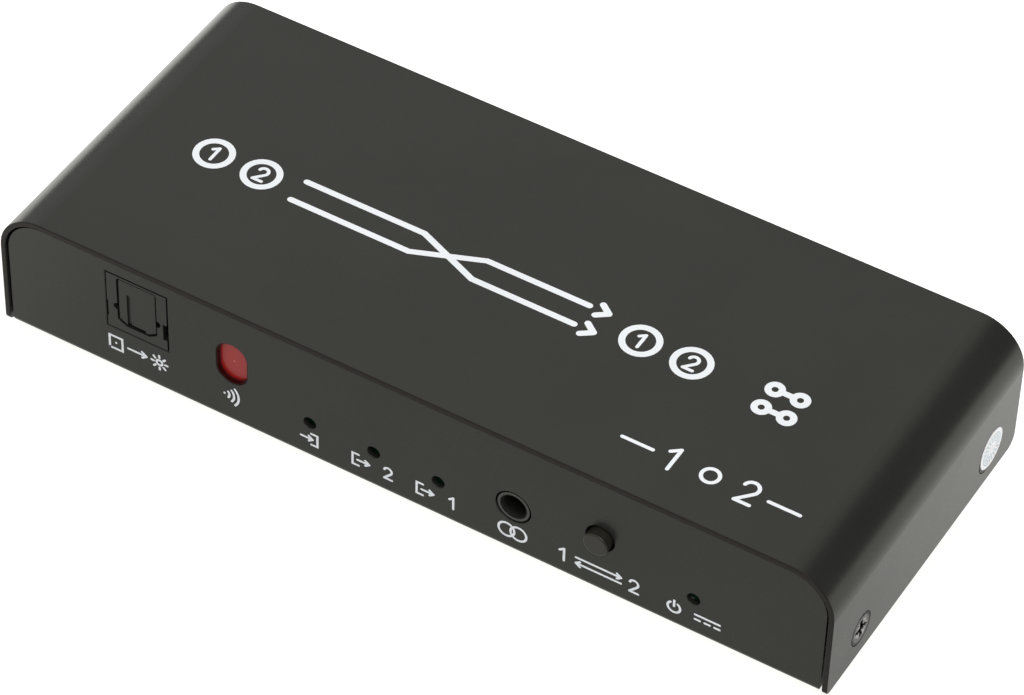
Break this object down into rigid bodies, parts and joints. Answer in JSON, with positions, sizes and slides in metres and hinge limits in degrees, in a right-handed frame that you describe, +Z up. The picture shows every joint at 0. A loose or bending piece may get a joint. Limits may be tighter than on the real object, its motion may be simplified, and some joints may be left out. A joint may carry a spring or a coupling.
{
  "type": "hdmi switch",
  "caption": "Flat black metal box that switches and splits video inputs to outputs, with optical and analogue sound outputs and a select button.",
  "frame": {"origin": "centre of the footprint on the surface the feet stand on", "axes": "+Z up, front panel faces -Y, video sockets face +Y, X along the long side"},
  "size_m": [0.1301, 0.0551, 0.0223],
  "materials": {
    "powder_coat": "satin black, fine grained",
    "bare_steel": "zinc plated",
    "black_screw": "black zinc, semi gloss",
    "seal": "matt white label",
    "rubber": "matt black",
    "circuit_board": "green solder resist",
    "black_plastic": "moulded, satin",
    "chip_plastic": "moulded epoxy, matt",
    "nickel": "nickel plated",
    "gold_contact": "gold plated",
    "tin_lead": "tin plated",
    "red_lens": "translucent red",
    "clear_epoxy": "clear epoxy, glossy",
    "aluminium": "anodised",
    "silicone_pad": "soft thermal pad",
    "ceramic": "fired ceramic",
    "ferrite": "pressed ferrite"
  },
  "bodies": {
    "case": {"audio_jack_contacts": "nickel", "audio_jack_housing": "black_plastic", "base_tray": "powder_coat", "board_screws": "bare_steel", "board_standoffs": "bare_steel", "capacitor_bases": "black_plastic", "capacitor_cans": "aluminium", "chip_capacitors": "ceramic", "chip_resistors": "chip_plastic", "control_chip": "chip_plastic", "control_chip_leads": "tin_lead", "cover_screws": "black_screw", "crystal": "nickel", "dc_jack_housing": "black_plastic", "dc_jack_pin": "nickel", "dc_jack_spring": "nickel", "heat_sink": "aluminium", "ir_receiver": "chip_plastic", "ir_receiver_leads": "tin_lead", "ir_window": "red_lens", "led_in": "clear_epoxy", "led_out_1": "clear_epoxy", "led_out_2": "clear_epoxy", "led_power": "clear_epoxy", "main_board": "circuit_board", "main_chip": "chip_plastic", "optical_emitter": "clear_epoxy", "optical_housing": "black_plastic", "optical_leads": "tin_lead", "power_coil": "ferrite", "rubber_feet": "rubber", "seal_sticker": "seal", "select_dome": "nickel", "select_switch_body": "black_plastic", "select_switch_frame": "nickel", "select_terminals": "tin_lead", "shutter_pin": "bare_steel", "shutter_spring": "bare_steel", "sound_chip": "chip_plastic", "sound_chip_leads": "tin_lead", "thermal_pad": "silicone_pad", "top_cover": "powder_coat", "video_in_1_contacts": "gold_contact", "video_in_1_insulator": "black_plastic", "video_in_1_shell": "nickel", "video_in_2_contacts": "gold_contact", "video_in_2_insulator": "black_plastic", "video_in_2_shell": "nickel", "video_out_1_contacts": "gold_contact", "video_out_1_insulator": "black_plastic", "video_out_1_shell": "nickel", "video_out_2_contacts": "gold_contact", "video_out_2_insulator": "black_plastic", "video_out_2_shell": "nickel", "voltage_regulator": "chip_plastic"},
    "select_actuator": {"select_button": "black_plastic"},
    "optical_door": {"optical_shutter": "black_plastic"}
  },
  "joints": [
    {"name": "select_press", "type": "slide", "parent": "case", "child": "select_actuator", "axis": [0, 1, 0], "range_m": [0, 0.0003], "stiffness_N_per_m": 2000, "springref_m": -0.0002},
    {"name": "shutter_swing", "type": "hinge", "parent": "case", "child": "optical_door", "pos_m": [-0.04265, -0.02543, 0.01795], "axis": [1, 0, 0], "range_deg": [0, 85], "stiffness_Nm_per_rad": 0.0002, "springref_deg": -20.05}
  ]
}
